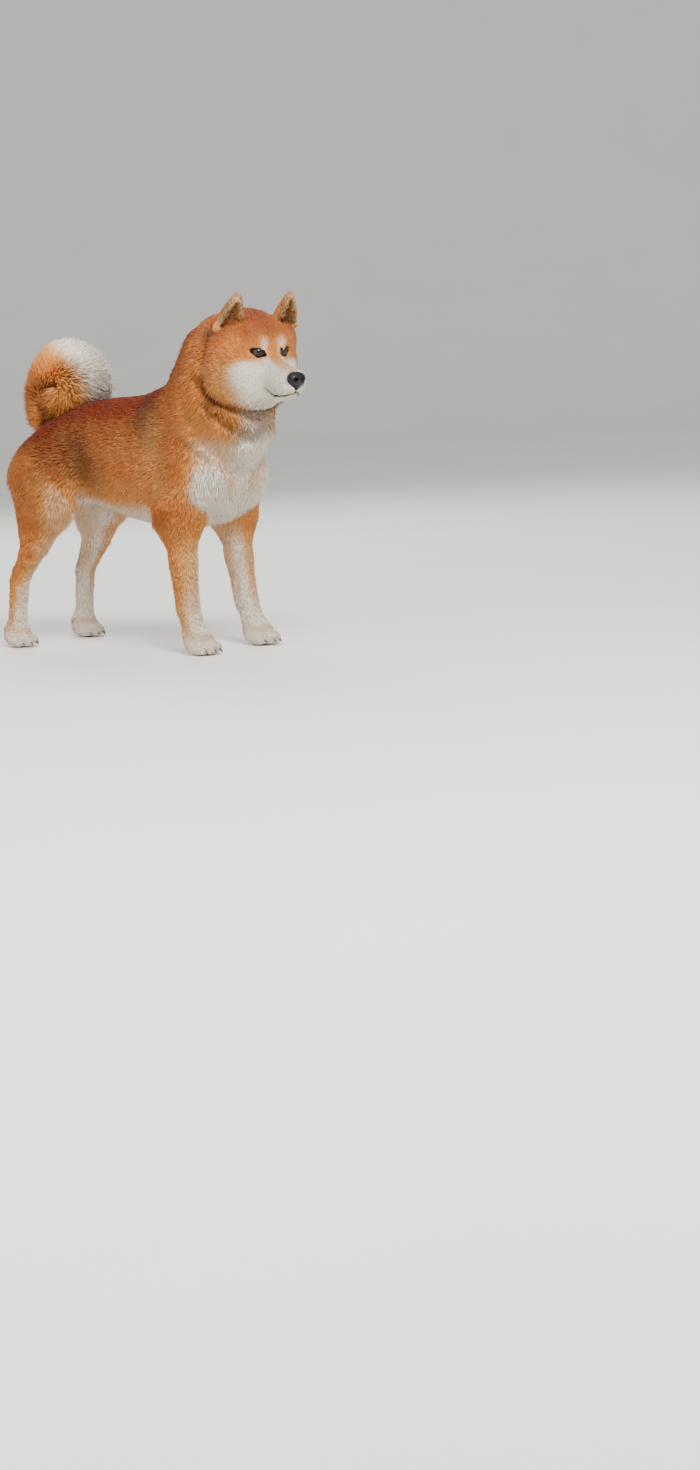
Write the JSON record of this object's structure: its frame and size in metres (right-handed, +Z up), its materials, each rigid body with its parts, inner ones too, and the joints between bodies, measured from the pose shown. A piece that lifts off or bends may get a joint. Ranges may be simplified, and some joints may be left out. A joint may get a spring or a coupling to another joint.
{
  "type": "shiba inu",
  "caption": "Red shiba inu standing square and still, life size, head up and turned a little to its right, pricked ears, and a bushy tail curled over the back.",
  "frame": {"origin": "on the floor under the middle of the animal's bounding box", "axes": "+X the way the body faces, +Y its left side, +Z up"},
  "size_m": [0.5872, 0.2002, 0.5125],
  "materials": {
    "coat": "dense soft double coat, red on top and cream below",
    "pale_coat": "short dense cream fur",
    "eye": "wet dark brown",
    "nose": "black, finely pebbled, a little moist"
  },
  "bodies": {
    "root": {"torso": "coat", "neck": "coat", "head": "coat", "nose": "nose", "eye_left": "eye", "eye_right": "eye", "ear_left": "coat", "ear_right": "coat", "foreleg_left": "coat", "foreleg_right": "coat", "hindleg_left": "coat", "hindleg_right": "coat", "forepaw_left": "pale_coat", "forepaw_right": "pale_coat", "hindpaw_left": "pale_coat", "hindpaw_right": "pale_coat", "tail": "coat"}
  },
  "joints": []
}
